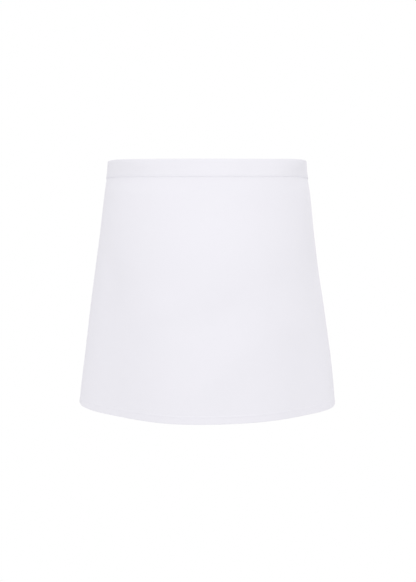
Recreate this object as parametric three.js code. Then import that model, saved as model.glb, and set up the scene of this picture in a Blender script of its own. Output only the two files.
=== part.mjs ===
// A short white waist apron, tied round the waist: a hemmed panel, a folded waistband and two ties in a bow.
// Units are millimetres. The origin is the middle of the waist ring at half the waistband's height,
// +Z is up, the front of the apron faces -Y and the bow is behind, at +Y.
import * as THREE from 'three';

// Cloth of the panel and the waistband
const APRON_LENGTH = 380; // along the front, from the waistband's top fold to the hem
const BAND_HEIGHT = 25;
const BAND_OVERHANG = 14; // how far the waistband runs past each side edge of the panel
const SEAM_TUCK = 10; // how far the panel's top edge reaches up into the waistband
const CLOTH = 1; // one layer of cloth
const CLEARANCE = 0.3; // between pieces that lie against each other
const SIDE_HEM = 12;
const BOTTOM_HEM = 11;
const HEM_FOLD = 1; // what the turned-in layers add to the cloth, on its inner face
const FOLD_RAMP = 0.6; // width of the step at the inner edge of a hem
const FOLD_ROUNDING = 0.6; // at the waistband's top fold
const CORNER_WIDTH = 5; // the panel's lower corners are rounded off over this width
const CORNER_HEIGHT = 4;

// Worn form: an oval waist ring, and a hem that hangs in an open curve
const WAIST_HALF_WIDTH = 148.5;
const WAIST_HALF_DEPTH = 118;
const WAIST_DROP = 4.5; // how much lower the ring lies at the back than at the front
const SIDE_DROP = 5; // how much further the ring sinks where it turns round the sides
const SIDE_DROP_FROM = 130; // distance from the centre front where that begins
const SIDE_DROP_TO = 265;
const HEM_HALF_WIDTH = 198.5;
const HEM_FRONT = -133;
const HEM_EDGE = 0; // how far back the side edges hang at the hem
const HEM_BELLY = 113; // half width at which the hem's straight tangents meet
const HIP_SPREAD = 0.1; // how much more the panel opens over the hips than a straight cone
const HIP_RISE = 0.65; // under 1, the most of that spread lies above the panel's middle

// Soft folds of the panel: place across it, half width, and depth at the hem
const SOFT_FOLDS = [
  { at: -215, halfWidth: 45, depth: 1.5 },
  { at: -135, halfWidth: 45, depth: -3 },
  { at: -50, halfWidth: 45, depth: 2 },
  { at: 40, halfWidth: 45, depth: -1.5 },
  { at: 215, halfWidth: 45, depth: 3.2 },
];
const FOLD_GROWTH = 1.5; // power with which a fold deepens on its way down

// Ties and bow
const TIE_WIDTH = 21;
const TIE_WIDTH_AT_KNOT = 12;
const KNOT_WIDTH = 22;
const KNOT_HEIGHT = 25;
const KNOT_DEPTH = 18;
const KNOT_ROUNDING = 7;
const KNOT_BEVEL = 1.5;
const KNOT_OVERHANG = 2; // how far the knot reaches in past the ties' middle line
const KNOT_LEAD = 5; // loops and tails leave the knot straight for this far
const TAIL_WIDTH_AT_KNOT = 10.4;
const TAIL_GATHER = 0.25; // share of a tail over which it widens from the knot
const LOOP_FULLNESS = 1.6; // over 1, a loop keeps its full width for longer

// The two sides of the bow: how far its loop reaches and droops, and how far its tail hangs and spreads
const BOW_SIDES = [
  { name: 'left', side: -1, reach: 90, droop: 27, tail: 300, spread: 36 },
  { name: 'right', side: 1, reach: 94, droop: 23, tail: 316, spread: 31 },
];

// Route of a loop between its two straight leads: shares of its reach and droop, and how far behind
// the knot's inner face it runs
const LOOP_LEAD_OUT = { behind: 12, rise: 2 };
const LOOP_ROUTE = [
  { reach: 0.42, behind: 19, droop: 0.08 },
  { reach: 0.76, behind: 25, droop: 0.5 },
  { reach: 0.95, behind: 23.5, droop: 0.86 },
  { reach: 1, behind: 17, droop: 1 },
  { reach: 0.94, behind: 10.5, droop: 1.02 },
  { reach: 0.72, behind: 8.5, droop: 0.8 },
  { reach: 0.42, behind: 8.5, droop: 0.44 },
];
const LOOP_LEAD_IN = { behind: 7, rise: -2 };

// Route of a tail below its straight lead, in shares of its length and spread
const TAIL_LEAD_BEHIND = 9;
const TAIL_ROUTE = [
  { spread: 0.18, behind: 14, fall: 0.15 },
  { spread: 0.55, behind: 19, fall: 0.5 },
  { spread: 0.75, behind: 17, fall: 1 },
];

// Number of steps along each piece
const PANEL_STEPS_ACROSS = 44;
const PANEL_STEPS_DOWN = 16;
const TIE_STEPS = 20;
const LOOP_STEPS = 48;
const TAIL_STEPS = 20;
const KNOT_ARC_STEPS = 6;

const waistCurve = new THREE.EllipseCurve(
  0, 0, WAIST_HALF_WIDTH, WAIST_HALF_DEPTH, -Math.PI / 2, Math.PI / 2);
const hemCurve = new THREE.QuadraticBezierCurve(
  new THREE.Vector2(0, HEM_FRONT),
  new THREE.Vector2(HEM_BELLY, HEM_FRONT),
  new THREE.Vector2(HEM_HALF_WIDTH, HEM_EDGE));
const HALF_RING = waistCurve.getLength();
const HALF_PANEL = hemCurve.getLength();
const HALF_BAND = HALF_PANEL + BAND_OVERHANG;

// How the cloth swings out from the waist to the hem, at a distance from the centre front
function swingAt(distance) {
  const inPanel = Math.min(distance, HALF_PANEL);
  const hem = hemCurve.getPointAt(inPanel / HALF_PANEL);
  const swing = hem.sub(waistCurve.getPointAt(inPanel / HALF_RING));
  return swing.multiplyScalar(1 - THREE.MathUtils.smoothstep(distance, HALF_PANEL, HALF_RING));
}

// How far the cloth has swung out at a distance down from the top: straight across the waistband, then curved
function openedAt(down) {
  const reach = Math.max(down, BAND_HEIGHT);
  const share = reach / APRON_LENGTH;
  const opened = share + HIP_SPREAD * Math.sin(Math.PI * share ** HIP_RISE);
  return opened * down / reach;
}

// A point of the worn cloth's middle layer, at a distance across from the centre front and down from the top
function wornMiddle(across, down) {
  const distance = Math.min(Math.abs(across), HALF_RING);
  const waist = waistCurve.getPointAt(distance / HALF_RING);
  const swing = swingAt(distance);
  const opened = openedAt(down);
  const ringDrop = WAIST_DROP * (waist.y + WAIST_HALF_DEPTH) / (2 * WAIST_HALF_DEPTH);
  const sideDrop = SIDE_DROP * THREE.MathUtils.smoothstep(distance, SIDE_DROP_FROM, SIDE_DROP_TO);
  const drop = ringDrop + sideDrop * (1 - down / APRON_LENGTH);
  const fall = Math.sqrt(1 - swing.lengthSq() / APRON_LENGTH ** 2);
  return new THREE.Vector3(
    Math.sign(across) * (waist.x + swing.x * opened),
    waist.y + swing.y * opened,
    BAND_HEIGHT / 2 - drop - down * fall);
}

function softFold(across, down) {
  const growth = (down / APRON_LENGTH) ** FOLD_GROWTH;
  return SOFT_FOLDS.reduce(
    (sum, fold) => sum + fold.depth * growth * Math.exp(-(((across - fold.at) / fold.halfWidth) ** 2)), 0);
}

// The same point moved outwards, square to the cloth
function worn(across, out, down) {
  const step = 0.5;
  const run = wornMiddle(across + step, down).sub(wornMiddle(across - step, down));
  const outwards = new THREE.Vector3(run.y, -run.x, 0).normalize();
  return wornMiddle(across, down).addScaledVector(outwards, out + softFold(across, down));
}

// A closed solid of cloth through a row of rings of points. Each ring runs along one face of the cloth
// and back along the other, so both ends are closed by a strip between the two faces.
function loft(rings) {
  const count = rings[0].length;
  const index = [];
  for (let ring = 0; ring + 1 < rings.length; ring += 1) {
    for (let corner = 0; corner < count; corner += 1) {
      const next = (corner + 1) % count;
      const a = ring * count + corner;
      const b = ring * count + next;
      index.push(a, b, b + count, a, b + count, a + count);
    }
  }
  const last = (rings.length - 1) * count;
  for (let corner = 0; corner + 1 < count / 2; corner += 1) {
    const a = corner;
    const b = corner + 1;
    const c = count - 2 - corner;
    const d = count - 1 - corner;
    index.push(c, b, a, d, c, a);
    index.push(last + a, last + b, last + c, last + a, last + c, last + d);
  }
  const geometry = new THREE.BufferGeometry().setFromPoints(rings.flat());
  geometry.setIndex(index);
  geometry.computeVertexNormals();
  return geometry;
}

function evenSteps(from, to, steps) {
  return Array.from({ length: steps + 1 }, (_, i) => THREE.MathUtils.lerp(from, to, i / steps));
}

function clothMesh(name, geometry) {
  const material = new THREE.MeshStandardMaterial({ color: 0xf1f0f6, roughness: 0.95, metalness: 0 });
  const mesh = new THREE.Mesh(geometry, material);
  mesh.name = name;
  return mesh;
}

// Stations across the panel, from side edge to side edge, with a step at the inner edge of each side hem
const sideFold = HALF_PANEL - SIDE_HEM;
const panelStations = [
  -HALF_PANEL, -HALF_PANEL + CORNER_WIDTH / 4, -HALF_PANEL + CORNER_WIDTH, -sideFold - FOLD_RAMP,
  ...evenSteps(-sideFold, sideFold, PANEL_STEPS_ACROSS),
  sideFold + FOLD_RAMP, HALF_PANEL - CORNER_WIDTH, HALF_PANEL - CORNER_WIDTH / 4, HALF_PANEL];

// Panel: one layer of cloth, thicker on its inner face where the side and bottom hems are turned in
function panelGeometry() {
  const bottomFold = APRON_LENGTH - BOTTOM_HEM;
  const hemTop = BAND_HEIGHT + CLOTH;
  const downStations = [
    BAND_HEIGHT - SEAM_TUCK, BAND_HEIGHT, hemTop, hemTop + FOLD_RAMP,
    ...evenSteps(hemTop, bottomFold, PANEL_STEPS_DOWN).slice(1),
    bottomFold + FOLD_RAMP, APRON_LENGTH - CORNER_WIDTH];

  // Where the panel ends: the hem, rounded off towards the side edges
  function panelEnd(across) {
    const intoCorner = Math.max(Math.abs(across) - HALF_PANEL + CORNER_WIDTH, 0) / CORNER_WIDTH;
    return APRON_LENGTH - CORNER_HEIGHT * (1 - Math.sqrt(1 - intoCorner ** 2));
  }
  function innerFace(across, down) {
    const inSideHem = Math.abs(across) > sideFold && down > hemTop;
    const inBottomHem = down > bottomFold;
    return -CLOTH / 2 - (inSideHem || inBottomHem ? HEM_FOLD : 0);
  }
  const rings = panelStations.map((across) => {
    const downs = [...downStations, panelEnd(across)];
    const outer = downs.map((down) => worn(across, CLOTH / 2, down));
    const inner = downs.map((down) => worn(across, innerFace(across, down), down));
    return [...outer, ...inner.reverse()];
  });
  return loft(rings);
}

// Waistband: a strip folded over the panel's top edge, open below
function waistbandGeometry() {
  const slot = CLOTH / 2 + CLEARANCE;
  const face = slot + CLOTH;
  const tuck = BAND_HEIGHT - SEAM_TUCK;
  const outside = [
    [-face, BAND_HEIGHT], [-face, tuck], [-face, FOLD_ROUNDING], [FOLD_ROUNDING - face, 0],
    [face - FOLD_ROUNDING, 0], [face, FOLD_ROUNDING], [face, tuck], [face, BAND_HEIGHT]];
  const inside = [
    [slot, BAND_HEIGHT], [slot, tuck], [slot, CLOTH + slot], [slot / 2, CLOTH],
    [-slot / 2, CLOTH], [-slot, CLOTH + slot], [-slot, tuck], [-slot, BAND_HEIGHT]];
  const section = [...outside, ...inside];
  const pastPanel = HALF_PANEL + BAND_OVERHANG / 2;
  const stations = [-HALF_BAND, -pastPanel, ...panelStations, pastPanel, HALF_BAND];
  return loft(stations.map((across) => section.map(([out, down]) => worn(across, out, down))));
}

// A flat strip of cloth through a row of stations, each with its middle, its direction across and its width
function stripGeometry(stations) {
  const corners = [[-1, -1], [1, -1], [1, 1], [-1, 1]];
  return loft(stations.map(({ middle, across, facing, width }) => corners.map(([x, y]) =>
    middle.clone().addScaledVector(across, x * width / 2).addScaledVector(facing, y * CLOTH / 2))));
}

// Stations along a curve, for a strip whose width lies along the given direction
function stationsAlong(curve, steps, direction, widthAt) {
  return evenSteps(0, 1, steps).map((share) => {
    const tangent = curve.getTangentAt(share);
    const across = direction.clone().addScaledVector(tangent, -direction.dot(tangent)).normalize();
    const facing = new THREE.Vector3().crossVectors(tangent, across);
    return { middle: curve.getPointAt(share), across, facing, width: widthAt(share) };
  });
}

// Tie: comes out of the waistband's end and narrows into the knot behind
function tieGeometry() {
  const from = HALF_PANEL + CLOTH;
  const to = HALF_RING - KNOT_WIDTH / 2 - CLEARANCE;
  const middleDown = BAND_HEIGHT / 2;
  const stations = evenSteps(from, to, TIE_STEPS).map((distance) => {
    const gather = THREE.MathUtils.smoothstep(distance, HALF_BAND, to);
    const width = THREE.MathUtils.lerp(TIE_WIDTH, TIE_WIDTH_AT_KNOT, gather);
    const top = worn(distance, 0, middleDown - width / 2);
    const bottom = worn(distance, 0, middleDown + width / 2);
    const across = top.clone().sub(bottom).normalize();
    const outside = worn(distance, CLOTH, middleDown);
    const inside = worn(distance, -CLOTH, middleDown);
    return {
      middle: top.add(bottom).multiplyScalar(0.5),
      across,
      facing: outside.sub(inside).normalize(),
      width,
    };
  });
  return stripGeometry(stations);
}

const knotMiddle = wornMiddle(HALF_RING, BAND_HEIGHT / 2);
const KNOT_INSIDE = knotMiddle.y - KNOT_OVERHANG;
const KNOT_SIDE = KNOT_WIDTH / 2 + CLEARANCE;
const KNOT_UNDER = knotMiddle.z - KNOT_HEIGHT / 2 - CLEARANCE;

// Bow loop on the +X side: out from the knot, down, and back into it nearer the wearer
function loopGeometry(row) {
  const lead = ({ behind, rise }, from) =>
    new THREE.Vector3(KNOT_SIDE + from, KNOT_INSIDE + behind, knotMiddle.z + rise);
  const path = new THREE.CatmullRomCurve3([
    lead(LOOP_LEAD_OUT, 0),
    lead(LOOP_LEAD_OUT, KNOT_LEAD),
    ...LOOP_ROUTE.map(({ reach, behind, droop }) => new THREE.Vector3(
      reach * row.reach, KNOT_INSIDE + behind, knotMiddle.z - droop * row.droop)),
    lead(LOOP_LEAD_IN, KNOT_LEAD),
    lead(LOOP_LEAD_IN, 0),
  ]);
  const upright = new THREE.Vector3(row.droop / row.reach, 0, 1);
  const widthAt = (share) => {
    const fullness = Math.min(1, Math.sin(Math.PI * share) * LOOP_FULLNESS);
    return THREE.MathUtils.lerp(TIE_WIDTH_AT_KNOT, TIE_WIDTH, fullness);
  };
  return stripGeometry(stationsAlong(path, LOOP_STEPS, upright, widthAt));
}

// Tail of a tie on the +X side: hangs from under the knot
function tailGeometry(row) {
  const start = TAIL_WIDTH_AT_KNOT / 2 + CLEARANCE;
  const leadBack = KNOT_INSIDE + TAIL_LEAD_BEHIND;
  const path = new THREE.CatmullRomCurve3([
    new THREE.Vector3(start, leadBack, KNOT_UNDER),
    new THREE.Vector3(start, leadBack, KNOT_UNDER - KNOT_LEAD),
    ...TAIL_ROUTE.map(({ spread, behind, fall }) => new THREE.Vector3(
      start + spread * row.spread, KNOT_INSIDE + behind, KNOT_UNDER - fall * row.tail)),
  ]);
  const sideways = new THREE.Vector3(1, 0, 0);
  const widthAt = (share) => {
    const widened = THREE.MathUtils.smoothstep(share, 0, TAIL_GATHER);
    return THREE.MathUtils.lerp(TAIL_WIDTH_AT_KNOT, TIE_WIDTH, widened);
  };
  return stripGeometry(stationsAlong(path, TAIL_STEPS, sideways, widthAt));
}

// Knot: one plain wrapped piece, round in section from front to back
function knotMesh() {
  const halfDepth = KNOT_DEPTH / 2 - KNOT_ROUNDING;
  const halfHeight = KNOT_HEIGHT / 2 - KNOT_ROUNDING;
  const wrap = new THREE.Shape();
  wrap.absarc(halfDepth, halfHeight, KNOT_ROUNDING, 0, Math.PI / 2);
  wrap.absarc(-halfDepth, halfHeight, KNOT_ROUNDING, Math.PI / 2, Math.PI);
  wrap.absarc(-halfDepth, -halfHeight, KNOT_ROUNDING, Math.PI, 1.5 * Math.PI);
  wrap.absarc(halfDepth, -halfHeight, KNOT_ROUNDING, 1.5 * Math.PI, 2 * Math.PI);
  const geometry = new THREE.ExtrudeGeometry(wrap, {
    depth: KNOT_WIDTH - 2 * KNOT_BEVEL,
    curveSegments: KNOT_ARC_STEPS,
    bevelSize: KNOT_BEVEL,
    bevelThickness: KNOT_BEVEL,
    bevelOffset: -KNOT_BEVEL,
    bevelSegments: 2,
  });
  geometry.translate(0, 0, KNOT_BEVEL - KNOT_WIDTH / 2);
  const mesh = clothMesh('bow_knot', geometry);
  mesh.rotation.set(Math.PI / 2, Math.PI / 2, 0);
  mesh.position.set(0, KNOT_INSIDE + KNOT_DEPTH / 2, knotMiddle.z);
  return mesh;
}

// One side's tie, loop and tail, mirrored for the left
function bowSide(row) {
  const group = new THREE.Group();
  group.add(clothMesh(`tie_${row.name}`, tieGeometry()));
  group.add(clothMesh(`bow_loop_${row.name}`, loopGeometry(row)));
  group.add(clothMesh(`tie_end_${row.name}`, tailGeometry(row)));
  group.scale.x = row.side;
  return group;
}

const apron = new THREE.Group();
apron.name = 'waist_apron';
apron.add(clothMesh('panel', panelGeometry()));
apron.add(clothMesh('waistband', waistbandGeometry()));
apron.add(knotMesh());
for (const row of BOW_SIDES) {
  apron.add(bowSide(row));
}

export default apron;
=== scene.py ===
"""A short white waist apron, worn and tied behind with a bow, in a plain white studio."""
import math

import bmesh
import bpy
import numpy as np
from mathutils import Matrix, Vector


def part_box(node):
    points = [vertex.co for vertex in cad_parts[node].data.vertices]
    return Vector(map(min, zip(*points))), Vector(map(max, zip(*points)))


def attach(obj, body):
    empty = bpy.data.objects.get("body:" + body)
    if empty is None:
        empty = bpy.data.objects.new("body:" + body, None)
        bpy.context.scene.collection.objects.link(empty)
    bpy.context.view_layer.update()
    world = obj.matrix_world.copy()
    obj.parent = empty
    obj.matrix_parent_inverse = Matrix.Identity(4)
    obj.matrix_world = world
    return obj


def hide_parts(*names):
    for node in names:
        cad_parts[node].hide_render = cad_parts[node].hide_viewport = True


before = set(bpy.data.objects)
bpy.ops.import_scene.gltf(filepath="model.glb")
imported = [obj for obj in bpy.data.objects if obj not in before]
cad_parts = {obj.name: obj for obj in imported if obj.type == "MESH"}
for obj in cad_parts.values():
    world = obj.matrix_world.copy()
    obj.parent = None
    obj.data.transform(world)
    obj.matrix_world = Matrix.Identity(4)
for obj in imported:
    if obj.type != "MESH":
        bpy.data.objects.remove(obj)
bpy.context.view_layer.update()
MM = 0.001

# Cloth of the panel and the waistband
APRON_LENGTH = 380 * MM  # along the front, from the waistband's top fold to the hem
BAND_HEIGHT = 25 * MM
BAND_OVERHANG = 14 * MM  # how far the waistband runs past each side edge of the panel
BAND_FACE = 0.78 * MM  # from the middle of the waistband to its outer layers
BAND_TURNED = 0.4 * MM  # from the middle of the waistband to its turned-under layers
BAND_END_FULLNESS = 0.6  # share by which the side hem and the tie thicken the waistband's ends
BAND_END_RAMP = 6 * MM  # how far before the side hem that begins
BAND_END_CLOSED = 0.45  # share by which the sewn end closes on the tie, above its turned edge
BAND_TOP_CLOSED = 0.33  # further share by which it closes above the tie
BAND_END_PINCH = 0.42 * MM  # how far it closes below the tie
BAND_END_LENGTH = 6 * MM
BAND_END_SEAM = 3 * MM  # from the waistband's end to its row of stitches
BAND_TIGHTNESS = 0.5 * MM  # how far the waistband draws the cloth in
BAND_HOLD = 26 * MM  # how far below the waistband its pull and its rolls fade
SEAM_TUCK = 10 * MM  # how far the panel's top edge reaches up into the waistband
CLOTH = 0.38 * MM  # one layer of cloth
LAYER = 0.42 * MM  # from one folded layer of a hem to the next
SIDE_HEM = 12 * MM
BOTTOM_HEM = 11 * MM
HEM_LIFT = 0.2 * MM  # how far the layers inside a hem push its front out
TURNED_EDGE = 8 * MM  # raw edge turned under inside the waistband
SIDE_SWELL = 3.6 * MM  # how far the panel bellies out before each side hem
SIDE_SWELL_FROM = 150 * MM
SIDE_CURL = 4.6 * MM  # how far the side hems curl back in
SIDE_CURL_WIDTH = 26 * MM
SIDE_CURL_TOP = 110 * MM  # distances down between which the curl grows
SIDE_CURL_FULL = 260 * MM
CORNER_WIDTH = 3.5 * MM  # the panel's lower corners are rounded over this width and height
CORNER_HEIGHT = 2.5 * MM
CORNER_RAMP = 2 * MM  # how far before a side hem the bottom hem climbs onto it
SIDE_HEM_LAYERS = 3  # layers of a side hem, which the bottom hem turns in together at a corner
RAW_EDGE_ROOM = 1.26 * MM  # from a hem's outer fold to the raw edge inside it, at the least
RAW_EDGE_CLEAR = 0.04 * MM  # from that raw edge to where the fold begins to bend, at the least
HEM_STEP_BEFORE = 1 * MM  # a hem's lift begins this far before its inner edge
HEM_STEP_AFTER = 0.5 * MM  # and is full this far past it
RELIEF_FADE = 10 * MM  # how far below the waistband the panel's relief is full
TURNED_RAMP = 4 * MM  # how far above its turned edge the waistband's end begins to close
TIE_EDGE_ROOM = 0.5 * MM  # room left at the tie's edges inside the waistband
TIE_EDGE_OVERLAP = 1 * MM  # how far above the tie's lower edge the waistband begins to close

# Worn form: an oval waist ring, and a hem that hangs in an open curve
WAIST_HALF_WIDTH = 148.5 * MM
WAIST_HALF_DEPTH = 118 * MM
WAIST_DROP = 4.5 * MM  # how much lower the ring lies at the back than at the front
SIDE_DROP = 5 * MM  # how much further the ring sinks where it turns round the sides
SIDE_DROP_FROM = 130 * MM  # distance from the centre front where that begins
SIDE_DROP_TO = 265 * MM
HEM_HALF_WIDTH = 198.5 * MM
HEM_FRONT = -133 * MM
HEM_EDGE = 0 * MM  # how far back the side edges hang at the hem
HEM_BELLY = 113 * MM  # half width at which the hem's straight tangents meet
HIP_SPREAD = 0.1  # how much more the panel opens over the hips than a straight cone
HIP_RISE = 0.65  # under 1, the most of that spread lies above the panel's middle
WAIST_LINE_POINTS = 1201
HEM_LINE_POINTS = 801

# Soft folds that deepen towards the hem: place across, half width, depth at the hem
SOFT_FOLDS = (
    (-215 * MM, 45 * MM, 1.5 * MM),
    (-135 * MM, 45 * MM, -3 * MM),
    (-50 * MM, 45 * MM, 2 * MM),
    (40 * MM, 45 * MM, -1.5 * MM),
    (215 * MM, 45 * MM, 3.2 * MM),
)
FOLD_GROWTH = 1.5  # power with which a fold deepens on its way down

# Broad dents and swells: place across and down, half length, half width, slant in degrees, and depth
SOFT_DENTS = (
    (0 * MM, 132 * MM, 170 * MM, 60 * MM, 0, 3.6 * MM),
    (31 * MM, 296 * MM, 70 * MM, 26 * MM, 133, 2.2 * MM),
    (-66 * MM, 214 * MM, 34 * MM, 20 * MM, -20, 1.5 * MM),
    (18 * MM, 224 * MM, 40 * MM, 22 * MM, -30, -1.6 * MM),
    (-160 * MM, 170 * MM, 45 * MM, 26 * MM, 75, -2.0 * MM),
    (122 * MM, 180 * MM, 40 * MM, 26 * MM, 60, -1.6 * MM),
    (140 * MM, 245 * MM, 36 * MM, 22 * MM, 20, 1.5 * MM),
    (215 * MM, 168 * MM, 40 * MM, 30 * MM, 90, -2.6 * MM),
    (-225 * MM, 70 * MM, 60 * MM, 45 * MM, 90, 0.9 * MM),
    (225 * MM, 55 * MM, 40 * MM, 45 * MM, 90, 1.4 * MM),
    (240 * MM, 305 * MM, 45 * MM, 30 * MM, 90, 1.4 * MM),
    (-250 * MM, 372 * MM, 14 * MM, 14 * MM, 0, -0.5 * MM),
    (250 * MM, 372 * MM, 14 * MM, 14 * MM, 0, -0.8 * MM),
)

# How the worn cloth settles: place across, half width, and rise at the waistband and at the hem
SETTLING = (
    (0 * MM, 110 * MM, 0.2 * MM, 0 * MM),
    (150 * MM, 40 * MM, 0.7 * MM, 0 * MM),
    (-235 * MM, 60 * MM, 0 * MM, 1.1 * MM),
    (245 * MM, 45 * MM, 0 * MM, -0.4 * MM),
)

# Rolls of the waistband about its middle: place across, half width, depth from edge to edge
BAND_ROLLS = (
    (-228 * MM, 20 * MM, 1.4 * MM),
    (-128 * MM, 58 * MM, -4.4 * MM),
    (-88 * MM, 14 * MM, 0.6 * MM),
    (-45 * MM, 8 * MM, -0.7 * MM),
    (10 * MM, 26 * MM, 1.0 * MM),
    (54 * MM, 13 * MM, -0.8 * MM),
    (90 * MM, 14 * MM, 0.6 * MM),
    (160 * MM, 32 * MM, -6.0 * MM),
    (228 * MM, 20 * MM, 1.2 * MM),
)

# Sewing
STITCH_PITCH = 3 * MM
STITCH_LENGTH = 2.5 * MM
THREAD = 0.38 * MM
THREAD_SUNK = 0.06 * MM  # how far a stitch is pulled into the cloth
SEAM_INSET = 1.6 * MM  # from a folded edge to its row of stitches
GROOVE_DEPTH = 0.11 * MM
GROOVE_WIDTH = 0.8 * MM
PUCKER = 0.12 * MM
PUCKER_LENGTHS = (13 * MM, 19.7 * MM)
PUCKER_SPREAD = 4  # how many groove widths the puckers reach
ROW_END = 1.5 * MM  # from the end of a row of stitches to the edge of the cloth
END_ROW_GAP = 2 * MM  # from a waistband end's row to the top fold and to the lower row
STITCH_SIDES = 6
STITCH_RINGS = 4
SIDE_ROW_POINTS = 300
BOTTOM_ROW_POINTS = 400
BAND_ROW_POINTS = 420
END_ROW_POINTS = 40
TAIL_ROW_POINTS = 24

# Grids of the cloths, which lie closer together at rows of stitches and at folds
PANEL_STEPS_ACROSS = 58  # from the centre front to each side hem
PANEL_STEPS_DOWN = 84
PANEL_GRID_START = 2 * MM  # the first station from the centre front, and below the waistband
TUCK_STEPS = 3
ROW_APPROACH = 4 * MM  # wide steps end this far from a row of stitches, and begin again past it
ROW_BEFORE = 2.5 * MM  # close steps begin this far before the row
ROW_AFTER = 2 * MM  # and end this far past it
ROW_STEPS = 9
HEM_STEPS = 4
HEM_STATIONS = 10  # from a hem's row of stitches on, shared by its three layers
FOLD_POINTS = 7
CREST_POINTS = 6  # round each half of the waistband's top fold
BAND_STEPS = 160
BAND_END_STEPS = 12
BAND_END_ZONE = 7 * MM  # close steps at each end of the waistband
BAND_END_GAP = 3 * MM  # from there to the first wide step
BAND_TURNED_STEPS = 3
BAND_ROW_FROM = 0.5 * MM  # close steps above the waistband's lower fold
BAND_ROW_TO = 3.5 * MM
BAND_ROW_STEPS = 7
BAND_RISE_FROM = 6 * MM  # wide steps from above those up to the top fold
BAND_RISE_TO = 1.5 * MM
BAND_RISE_STEPS = 6
STRIP_EDGE = 0.72  # close steps along a tie's edges, in shares of its half width
STRIP_MIDDLE = 0.64
STRIP_EDGE_STEPS = 7
STRIP_MIDDLE_STEPS = 14
TIE_POINTS = 90
LOOP_ROUTE_STEPS = 30
LOOP_SPACING = 1.8 * MM
TAIL_ROUTE_STEPS = 60
TAIL_SPACING = 2 * MM
KNOT_STEPS_ROUND = 80
KNOT_STEPS_ALONG = 56

# Ties and bow
TIE_WIDTH = 21 * MM
TIE_WIDTH_AT_KNOT = 12 * MM
TAIL_WIDTH_AT_KNOT = 9.8 * MM
TAIL_GAP = 0.9 * MM  # from the bow's middle to each tail, under the knot
TAIL_GATHER = 0.25  # share of a tail over which it widens from the knot
TIE_CLOTH = 0.9 * MM  # a folded tie, pressed flat
KNOT_GAP = 0.3 * MM
KNOT_LEAD = 5 * MM  # loops and tails leave the knot straight for this far
KNOT_TUCK = 3.5 * MM  # how far ties, loops and tails reach into the knot
LOOP_FULLNESS = 1.6  # over 1, a loop keeps its full width for longer
PLEATS = 2.5  # folds across a tie where it is gathered into the knot
PLEAT_DEPTH = 1.3 * MM
PLEAT_REACH = 26 * MM
TAIL_PLEAT_REACH = 1.3 * PLEAT_REACH
TIE_PLEAT_SHIFT = 0.4  # where the pleats of ties, loops and tails begin, in radians
LOOP_PLEAT_SHIFT = 0.9
TAIL_PLEAT_SHIFT = 1.2
STRIP_GROOVE = 0.06  # half width of a tie's stitch groove, in shares of its half width
EDGE_CURL = 0.5 * MM
TIE_CURL_REACH = 40 * MM  # how far past the waistband a tie's edges are fully curled
TAIL_SWAY = 1.2 * MM
TAIL_SWAY_LENGTH = 105 * MM
TAIL_TWIST = math.radians(11)
TAIL_TWIST_SHIFT = 0.6
TAIL_HEM = 9 * MM

# The bow's two sides: side, reach and droop of the loop, length and spread of the tail
BOW_SIDES = (
    ("left", -1, 90 * MM, 27 * MM, 300 * MM, 36 * MM),
    ("right", 1, 94 * MM, 23 * MM, 316 * MM, 31 * MM),
)

# Route of a loop between its leads: share of reach, distance behind the knot's inner face, share of droop
LOOP_LEAD_OUT = (12 * MM, 2 * MM)
LOOP_ROUTE = (
    (0.42, 19 * MM, 0.08),
    (0.76, 25 * MM, 0.5),
    (0.95, 23.5 * MM, 0.86),
    (1.0, 17 * MM, 1.0),
    (0.94, 10.5 * MM, 1.02),
    (0.72, 8.5 * MM, 0.8),
    (0.42, 8.5 * MM, 0.44),
)
LOOP_LEAD_IN = (7 * MM, -2 * MM)

# Route of a tail below its straight lead: shares of its spread, distance behind, and share of its length
TAIL_LEAD_BEHIND = 9 * MM
TAIL_ROUTE = ((0.18, 14 * MM, 0.15), (0.55, 19 * MM, 0.5), (0.75, 17 * MM, 1.0))

# Creases of the knot, round its wrap: place along it, slant and depth, in shares of its half width
KNOT_CREASES = ((-0.55, 0.12, 0.07), (-0.08, -0.1, 0.1), (0.42, 0.16, 0.08))
KNOT_SQUARENESS = 3.2
CREASE_WIDTH = 0.09
CREASE_WAVE = 3
CREASE_FROM = 0.3  # creases deepen between these distances from the wrap's axis
CREASE_FULL = 0.9
DRAWN_IN = 0.3  # how far the wrap's two ends are drawn in, where the loops come out
DRAWN_IN_RADIUS = 0.6
DRAWN_IN_FROM = 0.7

# Camera and studio, with places in metres
LENS = 71.07
CAMERA_PLACE = (0.0014, -1.75, 0.019)
CAMERA_AIM = (0.0014, 0.0, -0.1894)
FLOOR_HEIGHT = -1.05
FLOOR_RADIUS = 0.9
SKY_ABOVE = 1.04
SKY_BELOW = 0.85
KEY_POWER = 4.9
KEY_WIDTH = 1.3
KEY_HEIGHT = 0.5
KEY_PLACE = (0.02, -1.6, 0.45)
KEY_AIM = (0.0, 0.0, -0.1)
BACK_POWER = 5.0
BACK_WIDTH = 0.8
BACK_HEIGHT = 0.8
BACK_PLACE = (1.0, 1.9, 0.9)
BACK_AIM = (0.0, 0.1, -0.1)

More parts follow.
